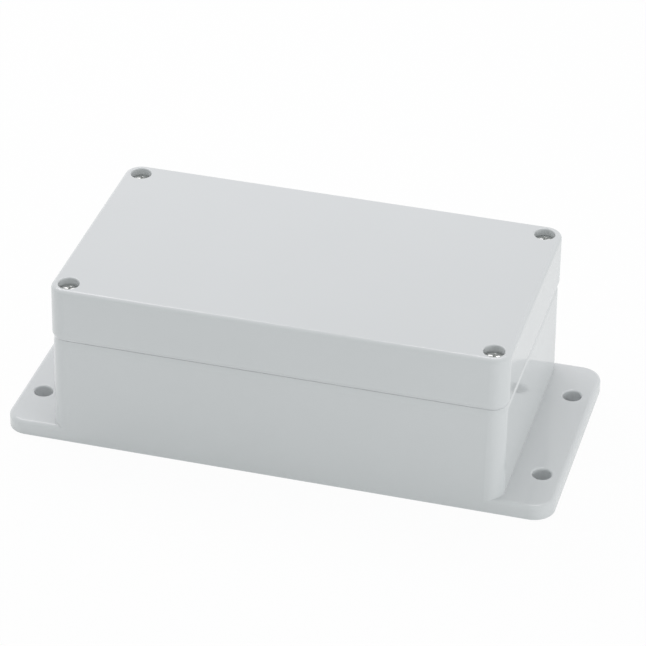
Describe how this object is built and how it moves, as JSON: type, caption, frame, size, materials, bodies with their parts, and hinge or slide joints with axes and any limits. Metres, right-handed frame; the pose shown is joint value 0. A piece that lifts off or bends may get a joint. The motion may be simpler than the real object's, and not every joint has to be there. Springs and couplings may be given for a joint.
{
  "type": "electrical distribution box",
  "caption": "Sealed plastic wiring enclosure with a deep screw-down lid, sealing strip, captive screws in brass inserts and drilled fixing flanges at both ends.",
  "frame": {"origin": "middle of the flat mounting face, at the bottom of the box's bounding box", "axes": "+X along the box from flange to flange, +Y across it towards the back, +Z from the mounting face up to the lid"},
  "size_m": [0.192, 0.09, 0.06],
  "materials": {
    "grey_abs": "light grey moulded ABS, polished mould",
    "black_rubber": "matt sealing rubber",
    "plated_steel": "zinc-plated steel",
    "brass": "turned and knurled brass"
  },
  "bodies": {
    "base": {"base_shell": "grey_abs", "brass_insert_front_left": "brass", "brass_insert_front_right": "brass", "brass_insert_back_right": "brass", "brass_insert_back_left": "brass"},
    "lid": {"lid_shell": "grey_abs", "sealing_strip": "black_rubber"},
    "retaining_ring_front_left": {"retaining_ring_front_left": "black_rubber"},
    "screw_front_left": {"screw_front_left": "plated_steel"},
    "retaining_ring_front_right": {"retaining_ring_front_right": "black_rubber"},
    "screw_front_right": {"screw_front_right": "plated_steel"},
    "retaining_ring_back_right": {"retaining_ring_back_right": "black_rubber"},
    "screw_back_right": {"screw_back_right": "plated_steel"},
    "retaining_ring_back_left": {"retaining_ring_back_left": "black_rubber"},
    "screw_back_left": {"screw_back_left": "plated_steel"}
  },
  "joints": [
    {"name": "lid_lift", "type": "slide", "parent": "base", "child": "lid", "axis": [0, 0, 1], "range_m": [0, 0.06]},
    {"name": "screw_rise_front_left", "type": "slide", "parent": "lid", "child": "retaining_ring_front_left", "axis": [0, 0, 1], "range_m": [0, 0.007]},
    {"name": "screw_turn_front_left", "type": "hinge", "parent": "retaining_ring_front_left", "child": "screw_front_left", "pos_m": [-0.073, -0.039, 0.055], "axis": [0, 0, 1], "range_deg": [0, 3600]},
    {"name": "screw_rise_front_right", "type": "slide", "parent": "lid", "child": "retaining_ring_front_right", "axis": [0, 0, 1], "range_m": [0, 0.007]},
    {"name": "screw_turn_front_right", "type": "hinge", "parent": "retaining_ring_front_right", "child": "screw_front_right", "pos_m": [0.073, -0.039, 0.055], "axis": [0, 0, 1], "range_deg": [0, 3600]},
    {"name": "screw_rise_back_right", "type": "slide", "parent": "lid", "child": "retaining_ring_back_right", "axis": [0, 0, 1], "range_m": [0, 0.007]},
    {"name": "screw_turn_back_right", "type": "hinge", "parent": "retaining_ring_back_right", "child": "screw_back_right", "pos_m": [0.073, 0.039, 0.055], "axis": [0, 0, 1], "range_deg": [0, 3600]},
    {"name": "screw_rise_back_left", "type": "slide", "parent": "lid", "child": "retaining_ring_back_left", "axis": [0, 0, 1], "range_m": [0, 0.007]},
    {"name": "screw_turn_back_left", "type": "hinge", "parent": "retaining_ring_back_left", "child": "screw_back_left", "pos_m": [-0.073, 0.039, 0.055], "axis": [0, 0, 1], "range_deg": [0, 3600]}
  ],
  "couplings": [
    {"joint": "screw_turn_front_left", "follows": "screw_rise_front_left", "rad_per_m": 8976},
    {"joint": "screw_turn_front_right", "follows": "screw_rise_front_right", "rad_per_m": 8976},
    {"joint": "screw_turn_back_right", "follows": "screw_rise_back_right", "rad_per_m": 8976},
    {"joint": "screw_turn_back_left", "follows": "screw_rise_back_left", "rad_per_m": 8976}
  ]
}
